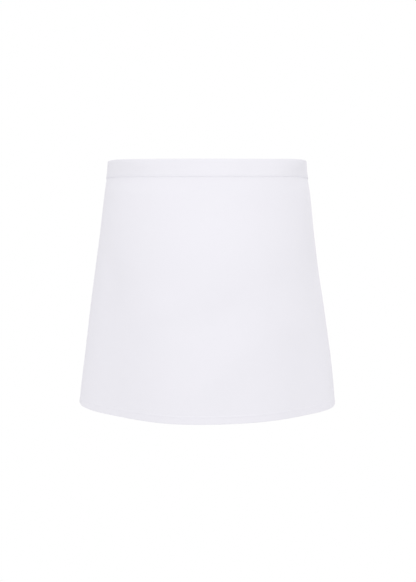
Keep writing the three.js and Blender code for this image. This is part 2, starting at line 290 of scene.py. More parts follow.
# Finish of the cloth and the thread
WHITE = (0.83, 0.82, 0.87)
WHITE_SHADE = (0.805, 0.796, 0.846)
THREAD_WHITE = (0.865, 0.856, 0.9)
THREAD_SHADE = (0.80, 0.792, 0.84)
RIB_SPACING = 0.75 * MM  # between the twill's diagonal ribs
YARN_SPACING = 0.4 * MM
DIAGONAL_WAVE = 10  # what the wave texture multiplies its coordinates by, across diagonal bands
STRAIGHT_WAVE = 20  # and across straight ones
RIB_UNEVENNESS = 0.5
RIB_DETAIL = 1.0
RIB_DETAIL_SCALE = 0.4
YARN_UNEVENNESS = 0.4
YARN_SHARE = 0.4  # height of the yarns and of the slubs, beside the ribs' height of 1
SLUB_SHARE = 0.8
SLUB_STRETCH = (70.0, 1100.0, 1.0)
SLUB_DETAIL = 3.0
WEAVE_STRENGTH = 0.6
WEAVE_DEPTH = 0.14 * MM
WEAVE_HOLLOW_SHADE = 0.3  # how much darker the low parts of the weave and slubs are painted, as painted shade in their hollows
PATCH_SCALE = 11.0
PATCH_DETAIL = 3.0
TONE_DARK_AT = 0.25
TONE_LIGHT_AT = 0.75
TWILL_SHEEN = 0.08
TWILL_ROUGHNESS = (0.84, 0.95)
# painted shade: the waistband's copy of the twill is painted this much darker than the panel's
BAND_PAINTED_SHADE = 0.995
FIBRE_SCALE = 2600.0
FIBRE_DETAIL = 2.0
FIBRE_STRENGTH = 0.3
FIBRE_DEPTH = 0.05 * MM
THREAD_SHEEN = 0.1
THREAD_ROUGHNESS = (0.6, 0.8)
SHEEN_ROUGHNESS = 0.6
SPECULAR_LEVEL = 0.25
FLOOR_WHITE = (0.85, 0.85, 0.85, 1.0)
FLOOR_ROUGHNESS = 0.9
FLOOR_GLOW = 0.3
FLOOR_SIDES = 96
PURE_WHITE = (1.0, 1.0, 1.0, 1.0)


def line_lengths(points):
    """The distance along a line of points, at each of them."""
    steps = np.linalg.norm(np.diff(points, axis=0), axis=1)
    return np.concatenate([[0.0], np.cumsum(steps)])


# The waist ring and the hem, from the centre front round the right-hand side
TURN = np.linspace(0.0, math.pi, WAIST_LINE_POINTS)
WAIST_LINE = np.stack([WAIST_HALF_WIDTH * np.sin(TURN), -WAIST_HALF_DEPTH * np.cos(TURN)], axis=1)
WAIST_RUN = line_lengths(WAIST_LINE)
SHARE = np.linspace(0.0, 1.0, HEM_LINE_POINTS)
HEM_LINE = np.stack([
    2 * SHARE * (1 - SHARE) * HEM_BELLY + SHARE ** 2 * HEM_HALF_WIDTH,
    (1 - SHARE ** 2) * HEM_FRONT + SHARE ** 2 * HEM_EDGE,
], axis=1)
HEM_RUN = line_lengths(HEM_LINE)
HALF_RING = WAIST_RUN[-1]
HALF_PANEL = HEM_RUN[-1]
HALF_BAND = HALF_PANEL + BAND_OVERHANG
SIDE_SEAM = HALF_PANEL - SIDE_HEM + SEAM_INSET
BOTTOM_SEAM = APRON_LENGTH - BOTTOM_HEM + SEAM_INSET
BAND_SEAM = BAND_HEIGHT - SEAM_INSET


def on_line(distance, run, line):
    """Points at given distances along a line."""
    return np.stack([np.interp(distance, run, column) for column in line.T], axis=1)


def smooth_step(value, low, high):
    """Rises smoothly from 0 at low to 1 at high."""
    share = np.clip((value - low) / (high - low), 0.0, 1.0)
    return share * share * (3 - 2 * share)


def bump_at(value, middle, half_width):
    """A round bump, 1 at its middle and fading to 0."""
    return np.exp(-((value - middle) / half_width) ** 2)


def unit(vectors):
    """The same directions, each 1 long."""
    return vectors / np.linalg.norm(vectors, axis=1, keepdims=True)


def opened_at(down):
    """How far the cloth has swung out: straight across the waistband, then curved over the hips."""
    reach = np.maximum(down, BAND_HEIGHT)
    share = reach / APRON_LENGTH
    opened = share + HIP_SPREAD * np.sin(np.pi * share ** HIP_RISE)
    return opened * down / reach


def worn_middle(across, down):
    """Points of the worn cloth, at distances across from the centre front and down from the top."""
    distance = np.minimum(np.abs(across), HALF_RING)
    in_panel = np.minimum(distance, HALF_PANEL)
    swing = on_line(in_panel, HEM_RUN, HEM_LINE) - on_line(in_panel, WAIST_RUN, WAIST_LINE)
    swing *= (1 - smooth_step(distance, HALF_PANEL, HALF_RING))[:, None]
    waist = on_line(distance, WAIST_RUN, WAIST_LINE)
    opened = opened_at(down)
    ring_drop = WAIST_DROP * (waist[:, 1] + WAIST_HALF_DEPTH) / (2 * WAIST_HALF_DEPTH)
    side_drop = SIDE_DROP * smooth_step(distance, SIDE_DROP_FROM, SIDE_DROP_TO)
    drop = ring_drop + side_drop * (1 - down / APRON_LENGTH)
    for at, half, rise_at_band, rise_at_hem in SETTLING:
        rise = rise_at_band + (rise_at_hem - rise_at_band) * down / APRON_LENGTH
        drop = drop - rise * bump_at(across, at, half)
    fall = np.sqrt(1 - (swing ** 2).sum(axis=1) / APRON_LENGTH ** 2)
    return np.stack([
        np.sign(across) * (waist[:, 0] + swing[:, 0] * opened),
        waist[:, 1] + swing[:, 1] * opened,
        BAND_HEIGHT / 2 - drop - down * fall,
    ], axis=1)


def drape(across, down):
    """How far the cloth stands out: soft folds, broad dents, and a rolled, drawn-in waistband."""
    out = sum(deep * bump_at(across, at, half) for at, half, deep in SOFT_FOLDS)
    out = out * (np.maximum(down, 0) / APRON_LENGTH) ** FOLD_GROWTH
    for at, height, half_length, half_width, slant, deep in SOFT_DENTS:
        turn = math.radians(slant)
        along = (across - at) * math.cos(turn) + (down - height) * math.sin(turn)
        aside = (down - height) * math.cos(turn) - (across - at) * math.sin(turn)
        out = out + deep * bump_at(along, 0.0, half_length) * bump_at(aside, 0.0, half_width)
    side = np.abs(across)
    curl_from = HALF_PANEL - SIDE_CURL_WIDTH
    curled = SIDE_SWELL * smooth_step(side, SIDE_SWELL_FROM, curl_from)
    curled = curled - SIDE_CURL * (np.clip(side - curl_from, 0, SIDE_CURL_WIDTH) / SIDE_CURL_WIDTH) ** 2
    out = out + curled * smooth_step(down, SIDE_CURL_TOP, SIDE_CURL_FULL)
    rolled = sum(deep * bump_at(across, at, half) for at, half, deep in BAND_ROLLS)
    reached = smooth_step(down, 0.0, BAND_HEIGHT)
    fading = 1 - smooth_step(down, BAND_HEIGHT, BAND_HEIGHT + BAND_HOLD)
    return out + (rolled * (reached - 0.5) - BAND_TIGHTNESS * reached) * fading


def outwards_at(across, down):
    """The level direction square to the cloth, away from the wearer."""
    step = 0.5 * MM
    run = worn_middle(across + step, down) - worn_middle(across - step, down)
    return unit(np.stack([run[:, 1], -run[:, 0], np.zeros(len(run))], axis=1))


def worn(across, out, down):
    """Points of the worn cloth, moved outwards."""
    across, out, down = np.broadcast_arrays(np.asarray(across, float), out, down)
    return worn_middle(across, down) + outwards_at(across, down) * (out + drape(across, down))[:, None]


def mesh_from(name, bm):
    """A mesh from a finished bmesh, which is then freed."""
    mesh = bpy.data.meshes.new(name)
    bm.to_mesh(mesh)
    bm.free()
    return mesh


def new_piece(name, mesh, material):
    """A piece of the apron from its finished mesh, riding on the one body."""
    mesh.shade_smooth()
    mesh.materials.append(material)
    piece = bpy.data.objects.new(name, mesh)
    bpy.context.scene.collection.objects.link(piece)
    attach(piece, "root")
    return piece


def cloth_piece(name, flat_across, flat_down, place, thickness, material):
    """A cloth cut flat as a grid, then brought to its worn place by place(column, row)."""
    columns = len(flat_across) - 1
    rows = len(flat_down) - 1
    bm = bmesh.new()
    bmesh.ops.create_grid(bm, x_segments=columns, y_segments=rows, size=0.5)
    flat = np.array([vert.co for vert in bm.verts])
    column = np.rint((0.5 + flat[:, 0]) * columns).astype(int)
    row = np.rint((0.5 - flat[:, 1]) * rows).astype(int)
    uv_map = bm.loops.layers.uv.new("cloth")
    for face in bm.faces:
        for loop in face.loops:
            corner = loop.vert.index
            loop[uv_map].uv = (flat_across[column[corner]], flat_down[row[corner]])
    for vert, point in zip(bm.verts, place(column, row)):
        vert.co = point
    piece = new_piece(name, mesh_from(name, bm), material)
    layers = piece.modifiers.new("cloth_thickness", "SOLIDIFY")
    layers.thickness = thickness
    layers.offset = 0.0
    return piece


def stretch(*parts):
    """Stations along a cloth, from rows of (from, to, number of steps)."""
    return np.concatenate([np.linspace(low, high, steps + 1) for low, high, steps in parts])


def level(stations, out):
    """A flat stretch of folded cloth: its stations, and one offset out."""
    return np.stack([stations, np.full(len(stations), out)], axis=1)


def flat_cloth(stations, out, face):
    """A flat stretch of cloth: its stations, its offset out, and its face, which points out or in."""
    rows = np.zeros((len(stations), 4))
    rows[:, 0] = stations
    rows[:, 1] = out
    rows[:, 3] = face
    return rows


def round_fold(station, out, radius, face):
    """A fold about a middle, which turns the face over, in the same four columns."""
    angle = np.linspace(0.0, math.pi, FOLD_POINTS)
    facing = face * np.stack([np.sin(angle), np.cos(angle)], axis=1)
    return np.concatenate([(station, out) + radius * facing, facing], axis=1)


def hem_depth(layers):
    """From the front of a double-turned hem to its back, where so many layers are turned in together."""
    return (3 * layers - 1) * LAYER


def turned_hem(start, edge, hem, steps, layers):
    """A cloth with a double-turned hem, from its front to the raw edge inside, closer at the stitches."""
    seam = edge - hem + SEAM_INSET
    outer = hem_depth(layers) / 2
    inner = outer - layers * LAYER / 2
    raw_edge = edge - max(RAW_EDGE_ROOM, outer + RAW_EDGE_CLEAR)
    front = stretch(
        (start, seam - ROW_APPROACH, steps),
        (seam - ROW_BEFORE, seam + ROW_AFTER, ROW_STEPS),
        (seam + ROW_APPROACH, edge - outer - LAYER, HEM_STEPS))
    turned = front[-HEM_STATIONS:]
    return np.concatenate([
        flat_cloth(front, 0.0, 1),
        round_fold(edge - outer, -outer, outer, 1),
        flat_cloth(turned[::-1], -2 * outer, -1),
        round_fold(edge - hem + inner, inner - 2 * outer, inner, -1),
        flat_cloth(np.append(turned[:-1], raw_edge), -layers * LAYER, 1),
    ])


def pucker(along):
    """Small uneven ripples along a row of stitches."""
    return sum(PUCKER / 2 * np.sin(2 * np.pi * along / length) for length in PUCKER_LENGTHS)


def panel_out(across, down):
    """Relief of the panel: raised hems, with a groove and puckers along their stitches."""
    side = np.abs(across)
    side_edge = HALF_PANEL - SIDE_HEM
    bottom_edge = APRON_LENGTH - BOTTOM_HEM
    on_hem = np.maximum(
        smooth_step(side, side_edge - HEM_STEP_BEFORE, side_edge + HEM_STEP_AFTER),
        smooth_step(down, bottom_edge - HEM_STEP_BEFORE, bottom_edge + HEM_STEP_AFTER))
    groove = np.maximum(bump_at(side, SIDE_SEAM, GROOVE_WIDTH), bump_at(down, BOTTOM_SEAM, GROOVE_WIDTH))
    ripple = (bump_at(side, SIDE_SEAM, PUCKER_SPREAD * GROOVE_WIDTH) * pucker(down)
              + bump_at(down, BOTTOM_SEAM, PUCKER_SPREAD * GROOVE_WIDTH) * pucker(across))
    below_band = smooth_step(down, BAND_HEIGHT, BAND_HEIGHT + RELIEF_FADE)
    return (HEM_LIFT * on_hem - GROOVE_DEPTH * groove + ripple) * below_band


def on_side_hem(across):
    """1 on the side hems, fading to 0 just before them."""
    side_edge = HALF_PANEL - SIDE_HEM
    return smooth_step(np.abs(across), side_edge - CORNER_RAMP, side_edge)


def rounded_corner(across, down):
    """Draws the panel's lower corners in to a small round."""
    past_side = np.clip((np.abs(across) - HALF_PANEL + CORNER_WIDTH) / CORNER_WIDTH, 0.0, 1.0)
    past_bottom = np.clip((down - APRON_LENGTH + CORNER_HEIGHT) / CORNER_HEIGHT, 0.0, 1.0)
    pull_side = past_side * (1 - np.sqrt(1 - past_bottom ** 2 / 2))
    pull_up = past_bottom * (1 - np.sqrt(1 - past_side ** 2 / 2))
    return across - np.sign(across) * pull_side * CORNER_WIDTH, down - pull_up * CORNER_HEIGHT


def make_panel(material, thread):
    """The panel: one cut of cloth, with both sides and then the bottom turned in twice."""
    half = turned_hem(PANEL_GRID_START, HALF_PANEL, SIDE_HEM, PANEL_STEPS_ACROSS, 1)[:, :2]
    wide = np.concatenate([half[::-1] * (-1, 1), half])
    tucked = flat_cloth(stretch((BAND_HEIGHT - SEAM_TUCK, BAND_HEIGHT, TUCK_STEPS)), 0.0, 1)
    front_start = BAND_HEIGHT + PANEL_GRID_START
    single, stacked = [
        np.concatenate([tucked, turned_hem(front_start, APRON_LENGTH, BOTTOM_HEM, PANEL_STEPS_DOWN, layers)])
        for layers in (1, SIDE_HEM_LAYERS)]

    def place(column, row):
        across, side_out = wide[column].T
        section = single[row] + (stacked[row] - single[row]) * on_side_hem(across)[:, None]
        down, bottom_out, face_down, face_out = section.T
        down = down + side_out * face_down
        out = bottom_out + side_out * face_out + panel_out(across, down)
        across, down = rounded_corner(across, down)
        return worn(across, out, down)

    flat_across = line_lengths(wide)
    flat_down = line_lengths(single[:, :2])
    panel = cloth_piece("apron_panel", flat_across, flat_down, place, CLOTH, material)
    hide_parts("panel")
    stitches = sew("panel_stitches", panel_seams(), thread)


def panel_seams():
    """The rows of stitches along the panel's hems, on both faces."""
    down = np.linspace(BAND_HEIGHT + ROW_END, APRON_LENGTH - ROW_END, SIDE_ROW_POINTS)
    across = np.linspace(-HALF_PANEL + ROW_END, HALF_PANEL - ROW_END, BOTTOM_ROW_POINTS)
    lines = (
        (np.full(SIDE_ROW_POINTS, SIDE_SEAM), down),
        (np.full(SIDE_ROW_POINTS, -SIDE_SEAM), down),
        (across, np.full(BOTTOM_ROW_POINTS, BOTTOM_SEAM)),
    )
    rise = CLOTH / 2 + THREAD / 2 - THREAD_SUNK
    seams = []
    for seam_across, seam_down in lines:
        outwards = outwards_at(seam_across, seam_down)
        relief = panel_out(seam_across, seam_down)
        seams.append((worn(seam_across, relief + rise, seam_down), outwards))
        turned = 1 + (SIDE_HEM_LAYERS - 1) * on_side_hem(seam_across)
        depth = np.where(seam_down == BOTTOM_SEAM, hem_depth(turned), hem_depth(1))
        seams.append((worn(seam_across, relief - depth - rise, seam_down), -outwards))
    return seams


def band_section():
    """The waistband's folded section, from raw edge to raw edge: offset out and distance down."""
    bend = (BAND_FACE - BAND_TURNED) / 2
    lower = BAND_HEIGHT - bend
    angle = np.linspace(0.0, math.pi, FOLD_POINTS)
    quarter = np.linspace(0.0, math.pi / 2, CREST_POINTS)
    tucked = stretch((BAND_HEIGHT - TURNED_EDGE, lower - bend, BAND_TURNED_STEPS))
    turned = level(tucked, BAND_TURNED)[:, ::-1]
    fold = np.stack([BAND_TURNED + bend - bend * np.cos(angle), lower + bend * np.sin(angle)], axis=1)
    rise = stretch(
        (lower - BAND_ROW_FROM, lower - BAND_ROW_TO, BAND_ROW_STEPS),
        (lower - BAND_RISE_FROM, BAND_FACE + BAND_RISE_TO, BAND_RISE_STEPS))
    front = level(rise, BAND_FACE)[:, ::-1]
    crest = np.stack([BAND_FACE * np.cos(quarter), BAND_FACE - BAND_FACE * np.sin(quarter)], axis=1)
    half = np.concatenate([turned, fold, front, crest])
    return np.concatenate([half, half[-2::-1] * (-1, 1)])


def band_out(across, out, down):
    """How far out the waistband lies: pressed at stitches, full over hem and tie, closed at the ends."""
    side = np.abs(across)
    hem_edge = HALF_PANEL - SIDE_HEM
    full = 1 + BAND_END_FULLNESS * smooth_step(side, hem_edge - BAND_END_RAMP, hem_edge)
    at_end = smooth_step(side, HALF_BAND - BAND_END_LENGTH, HALF_BAND)
    turned_top = BAND_HEIGHT - TURNED_EDGE
    tie_top = (BAND_HEIGHT - TIE_WIDTH) / 2
    tie_bottom = (BAND_HEIGHT + TIE_WIDTH) / 2
    turned = smooth_step(down, turned_top - TURNED_RAMP, turned_top)
    above_tie = 1 - smooth_step(down, TIE_EDGE_ROOM, tie_top + TIE_EDGE_ROOM)
    below_tie = smooth_step(down, tie_bottom - TIE_EDGE_OVERLAP, BAND_HEIGHT - TIE_EDGE_ROOM)
    closed = at_end * (1 - turned) * (BAND_END_CLOSED + BAND_TOP_CLOSED * above_tie)
    seams = np.maximum(bump_at(down, BAND_SEAM, GROOVE_WIDTH),
                       bump_at(side, HALF_BAND - BAND_END_SEAM, GROOVE_WIDTH) * (down > SEAM_INSET))
    ripple = bump_at(down, BAND_SEAM, PUCKER_SPREAD * GROOVE_WIDTH) * pucker(across)
    pressed = (out - np.sign(out) * GROOVE_DEPTH * seams) * full * (1 - closed)
    return pressed - np.sign(out) * BAND_END_PINCH * at_end * below_tie + ripple


def make_waistband(material, thread):
    """The waistband: a strip folded over the panel's top edge, with both raw edges turned under."""
    section = band_section()
    end = HALF_BAND - BAND_END_ZONE
    along = stretch(
        (-HALF_BAND, -end, BAND_END_STEPS),
        (-end + BAND_END_GAP, end - BAND_END_GAP, BAND_STEPS),
        (end, HALF_BAND, BAND_END_STEPS))

    def place(column, row):
        out, down = section[row].T
        return worn(along[column], band_out(along[column], out, down), down)

    flat_down = line_lengths(section)
    band = cloth_piece("apron_waistband", along, flat_down, place, CLOTH, material)
    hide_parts("waistband")
    stitches = sew("waistband_stitches", band_seams(), thread)


def band_seams():
    """The rows of stitches along the waistband's lower edge and down its two ends, on both faces."""
    along = np.linspace(-HALF_BAND + ROW_END, HALF_BAND - ROW_END, BAND_ROW_POINTS)
    down = np.linspace(END_ROW_GAP, BAND_SEAM - END_ROW_GAP, END_ROW_POINTS)
    lines = [(along, np.full(BAND_ROW_POINTS, BAND_SEAM))]
    for side in (-1, 1):
        lines.append((np.full(END_ROW_POINTS, side * (HALF_BAND - BAND_END_SEAM)), down))
    rise = CLOTH / 2 + THREAD / 2 - THREAD_SUNK
    seams = []
    for across, height in lines:
        outwards = outwards_at(across, height)
        for face in (1, -1):
            out = band_out(across, np.full(len(across), face * BAND_FACE), height) + face * rise
            seams.append((worn(across, out, height), face * outwards))
    return seams


def stitch_bead():
    """One stitch, a small rounded bead along Z: its points and its faces."""
    bm = bmesh.new()
    bmesh.ops.create_uvsphere(bm, u_segments=STITCH_SIDES, v_segments=STITCH_RINGS, radius=0.5)
    points = np.array([vert.co for vert in bm.verts])
    faces = np.array([[vert.index for vert in (*face.verts, face.verts[-1])[:4]] for face in bm.faces])
    sides = [len(face.verts) for face in bm.faces]
    bm.free()
    return points, faces, sides


def sew(name, seams, thread):
    """Rows of stitches as one mesh; a row has points along it and the direction away from the cloth."""
    bead, faces, sides = stitch_bead()
    rows = []
    for points, outwards in seams:
        run = line_lengths(points)
        middles = np.arange(STITCH_PITCH / 2, run[-1], STITCH_PITCH)
        heads = on_line(middles - STITCH_LENGTH / 2, run, points)
        along = on_line(middles + STITCH_LENGTH / 2, run, points) - heads
        side = THREAD * unit(np.cross(along, on_line(middles, run, outwards)))
        lift = THREAD * unit(np.cross(along, side))
        axes = np.stack([side, lift, along], axis=1)
        rows.append((heads + along / 2)[:, None, :] + bead @ axes)
    points = np.concatenate(rows).reshape(-1, 3)
    corners = []
    for start in range(0, len(points), len(bead)):
        corners += [(start + face[:count]).tolist() for face, count in zip(faces, sides)]
    mesh = bpy.data.meshes.new(name)
    mesh.from_pydata(points.tolist(), [], corners)
    return new_piece(name, mesh, thread)


def smooth_route(points, steps):
    """A centripetal curve through given points, with the same number of steps along each span."""
    points = np.asarray(points, float)
    ends = np.concatenate([[2 * points[0] - points[1]], points, [2 * points[-1] - points[-2]]])
    curve = []
    for p0, p1, p2, p3 in zip(ends, ends[1:], ends[2:], ends[3:]):
        t1 = np.linalg.norm(p1 - p0) ** 0.5
        t2 = t1 + np.linalg.norm(p2 - p1) ** 0.5
        t3 = t2 + np.linalg.norm(p3 - p2) ** 0.5
        t = np.linspace(t1, t2, steps, endpoint=False)[:, None]
        a1 = (t1 - t) / t1 * p0 + t / t1 * p1
        a2 = (t2 - t) / (t2 - t1) * p1 + (t - t1) / (t2 - t1) * p2
        a3 = (t3 - t) / (t3 - t2) * p2 + (t - t2) / (t3 - t2) * p3
        b1 = (t2 - t) / t2 * a1 + t / t2 * a2
        b2 = (t3 - t) / (t3 - t1) * a2 + (t - t1) / (t3 - t1) * a3
        curve.append((t2 - t) / (t2 - t1) * b1 + (t - t1) / (t2 - t1) * b2)
    return np.concatenate([*curve, points[-1:]])


def even_along(points, spacing):
    """The same line with evenly spaced points."""
    run = line_lengths(points)
    return on_line(np.linspace(0.0, run[-1], round(run[-1] / spacing) + 1), run, points)


def make_strip(name, node, middle, across, width, gather, curl, phase, thread, material, end_hem=None):
    """A tie's strip along a line of points: pleated where gather is 1, its edges curled, and topstitched."""
    run = line_lengths(middle)
    tangent = unit(np.gradient(middle, axis=0))
    across = unit(across - tangent * (across * tangent).sum(axis=1, keepdims=True))
    facing = np.cross(tangent, across)
    places = stretch(
        (-1.0, -STRIP_EDGE, STRIP_EDGE_STEPS),
        (-STRIP_MIDDLE, STRIP_MIDDLE, STRIP_MIDDLE_STEPS),
        (STRIP_EDGE, 1.0, STRIP_EDGE_STEPS))
    edge_seam = 1 - 2 * SEAM_INSET / TIE_WIDTH

    def surface(column, side, lift):
        pleat = PLEAT_DEPTH * gather[column] * np.cos(PLEATS * np.pi * side + phase)
        dent = GROOVE_DEPTH * bump_at(np.abs(side), edge_seam, STRIP_GROOVE) * (1 - gather[column])
        out = pleat + curl[column] * side ** 2 + lift - np.sign(lift) * dent
        reach = side * width[column] / 2
        return middle[column] - across[column] * reach[:, None] + facing[column] * out[:, None]

    def place(column, row):
        return surface(column, places[row], 0.0)

    strip = cloth_piece(name, run, (places + 1) * TIE_WIDTH / 2, place, TIE_CLOTH, material)
    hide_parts(node)
    column = np.arange(len(run))
    rise = TIE_CLOTH / 2 + THREAD / 2 - THREAD_SUNK
    seams = []
    for face in (1, -1):
        for side in (edge_seam, -edge_seam):
            seams.append((surface(column, np.full(len(run), side), face * rise), face * facing))
        if end_hem is not None:
            hem_column = np.full(TAIL_ROW_POINTS, np.searchsorted(run, run[-1] - end_hem))
            hem_side = np.linspace(-edge_seam, edge_seam, TAIL_ROW_POINTS)
            seams.append((surface(hem_column, hem_side, face * rise), face * facing[hem_column]))
    stitches = sew(name + "_stitches", seams, thread)
    return strip, stitches, (float(run[-1]), TIE_WIDTH)


def knot_box():
    """The knot's lowest and highest corners, from its CAD node."""
    low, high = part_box("bow_knot")
    return np.array(low), np.array(high)


def make_tie(name, side, thread, material):
    """A tie: comes out of the waistband's end and narrows into the knot behind."""
    _, high = knot_box()
    end = HALF_RING - high[0] + KNOT_TUCK
    distance = np.linspace(HALF_PANEL + CLOTH, end, TIE_POINTS)
    gather = smooth_step(distance, HALF_BAND, HALF_RING - high[0])
    width = TIE_WIDTH + (TIE_WIDTH_AT_KNOT - TIE_WIDTH) * gather
    top = worn(distance, 0.0, BAND_HEIGHT / 2 - width / 2)
    bottom = worn(distance, 0.0, BAND_HEIGHT / 2 + width / 2)
    mirror = np.array([side, 1, 1])
    pleated = bump_at(distance, end, PLEAT_REACH)
    curl = EDGE_CURL * (1 - pleated) * smooth_step(distance, HALF_BAND, HALF_BAND + TIE_CURL_REACH)
    strip, stitches, flat = make_strip(
        "tie_strip_" + name, "tie_" + name, (top + bottom) / 2 * mirror, (top - bottom) * mirror,
        width, pleated, curl, TIE_PLEAT_SHIFT * side, thread, material)


def make_loop(name, side, reach, droop, thread, material):
    """A bow loop: out from the knot, down, and back into it nearer the wearer."""
    low, high = knot_box()
    middle_height = (low[2] + high[2]) / 2

    def lead(place, from_knot):
        behind, rise = place
        return (high[0] + from_knot, low[1] + behind, middle_height + rise)

    points = [lead(LOOP_LEAD_OUT, -KNOT_TUCK), lead(LOOP_LEAD_OUT, KNOT_LEAD)]
    for out, behind, drop in LOOP_ROUTE:
        points.append((out * reach, low[1] + behind, middle_height - drop * droop))
    points += [lead(LOOP_LEAD_IN, KNOT_LEAD), lead(LOOP_LEAD_IN, -KNOT_TUCK)]
    middle = even_along(smooth_route(points, LOOP_ROUTE_STEPS), LOOP_SPACING) * (side, 1, 1)
    share = np.linspace(0.0, 1.0, len(middle))
    width = TIE_WIDTH_AT_KNOT + (TIE_WIDTH - TIE_WIDTH_AT_KNOT) * np.minimum(
        1.0, np.sin(np.pi * share) * LOOP_FULLNESS)
    run = line_lengths(middle)
    pleated = np.maximum(bump_at(run, 0.0, PLEAT_REACH), bump_at(run, run[-1], PLEAT_REACH))
    upright = np.tile((side * droop / reach, 0.0, 1.0), (len(middle), 1))
    strip, stitches, flat = make_strip(
        "bow_strip_" + name, "bow_loop_" + name, middle, upright, width, pleated,
        EDGE_CURL * (1 - pleated), LOOP_PLEAT_SHIFT * side, thread, material)


def make_tail(name, side, length, spread, thread, material):
    """A tail of the tie, hanging from under the knot to its hemmed end."""
    low, _ = knot_box()
    start = TAIL_WIDTH_AT_KNOT / 2 + TAIL_GAP
    under = low[2] - KNOT_GAP
    lead = low[1] + TAIL_LEAD_BEHIND
    points = [(start, lead, under + KNOT_TUCK), (start, lead, under - KNOT_LEAD)]
    for wide, behind, fall in TAIL_ROUTE:
        points.append((start + wide * spread, low[1] + behind, under - fall * length))
    middle = even_along(smooth_route(points, TAIL_ROUTE_STEPS), TAIL_SPACING) * (side, 1, 1)
    run = line_lengths(middle)
    share = run / run[-1]
    free = smooth_step(share, 0.0, TAIL_GATHER)
    width = TAIL_WIDTH_AT_KNOT + (TIE_WIDTH - TAIL_WIDTH_AT_KNOT) * free
    middle[:, 1] += TAIL_SWAY * free * np.sin(2 * np.pi * run / TAIL_SWAY_LENGTH + side)
    twist = TAIL_TWIST * free * np.sin(np.pi * share + TAIL_TWIST_SHIFT * side)
    sideways = np.stack([np.cos(twist), np.sin(twist), np.zeros(len(run))], axis=1)
    pleated = bump_at(run, 0.0, TAIL_PLEAT_REACH)
    strip, stitches, flat = make_strip(
        "tail_strip_" + name, "tie_end_" + name, middle, sideways, width, pleated,
        EDGE_CURL * (1 - pleated), TAIL_PLEAT_SHIFT * side, thread, material, end_hem=TAIL_HEM)


def make_knot(material):
    """The knot: a tie wrapped round the bow's middle, creased, and drawn in where the loops come out."""
    low, high = knot_box()
    centre = (low + high) / 2
    half = (high - low) / 2
    bm = bmesh.new()
    across_bow = Matrix.Rotation(math.pi / 2, 4, "Y")
    bmesh.ops.create_uvsphere(bm, u_segments=KNOT_STEPS_ROUND, v_segments=KNOT_STEPS_ALONG, radius=1.0,
                              matrix=across_bow)
    ball = np.array([vert.co for vert in bm.verts])
    angle = np.arctan2(ball[:, 2], ball[:, 1])
    body = ball / (np.abs(ball) ** KNOT_SQUARENESS).sum(axis=1, keepdims=True) ** (1 / KNOT_SQUARENESS)
    ring = np.hypot(body[:, 1], body[:, 2])
    creased = np.zeros(len(ball))
    for at, slant, depth in KNOT_CREASES:
        line = at + slant * np.sin(angle + CREASE_WAVE * at)
        deepened = smooth_step(ring, CREASE_FROM, CREASE_FULL)
        creased += depth * bump_at(body[:, 0], line, CREASE_WIDTH) * deepened
    at_ends = smooth_step(np.abs(body[:, 0]), DRAWN_IN_FROM, 1.0)
    drawn_in = DRAWN_IN * np.sign(body[:, 0]) * bump_at(ring, 0.0, DRAWN_IN_RADIUS) * at_ends
    shaped = body * (1 - creased)[:, None]
    shaped[:, 0] = body[:, 0] - drawn_in
    uv_map = bm.loops.layers.uv.new("cloth")
    for face in bm.faces:
        facing = math.atan2(face.calc_center_median().z, face.calc_center_median().y)
        for loop in face.loops:
            turn = angle[loop.vert.index] - facing
            turn = facing + math.remainder(turn, 2 * math.pi)
            loop[uv_map].uv = (body[loop.vert.index, 0] * half[0], turn * half[2])
    for vert, point in zip(bm.verts, centre + shaped * half):
        vert.co = point
    bmesh.ops.recalc_face_normals(bm, faces=bm.faces)
    knot = new_piece("bow_wrap", mesh_from("bow_wrap", bm), material)
    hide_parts("bow_knot")


def wire(tree, kind, inputs, **settings):
    """Adds a node; each input is a value or another node's output."""
    made = tree.nodes.new(kind)
    for key, value in settings.items():
        setattr(made, key, value)
    for key, value in inputs.items():
        if isinstance(value, bpy.types.NodeSocket):
            tree.links.new(value, made.inputs[key])
        else:
            made.inputs[key].default_value = value
    return made


def matt_material(name, sheen):
    """A matt material with a soft sheen: itself, its nodes and its shader."""
    material = bpy.data.materials.new(name)
    material.use_nodes = True
    shader = material.node_tree.nodes["Principled BSDF"]
    shader.inputs["Sheen Weight"].default_value = sheen
    shader.inputs["Sheen Roughness"].default_value = SHEEN_ROUGHNESS
    shader.inputs["Specular IOR Level"].default_value = SPECULAR_LEVEL
    return material, material.node_tree, shader


def tone_ramp(tree, tone, dark, light):
    """A colour between dark and light, by tone."""
    ramp = wire(tree, "ShaderNodeValToRGB", {"Fac": tone})
    ramp.color_ramp.elements[0].position = TONE_DARK_AT
    ramp.color_ramp.elements[1].position = TONE_LIGHT_AT
    ramp.color_ramp.elements[0].color = (*dark, 1.0)
    ramp.color_ramp.elements[1].color = (*light, 1.0)
    return ramp.outputs["Color"]


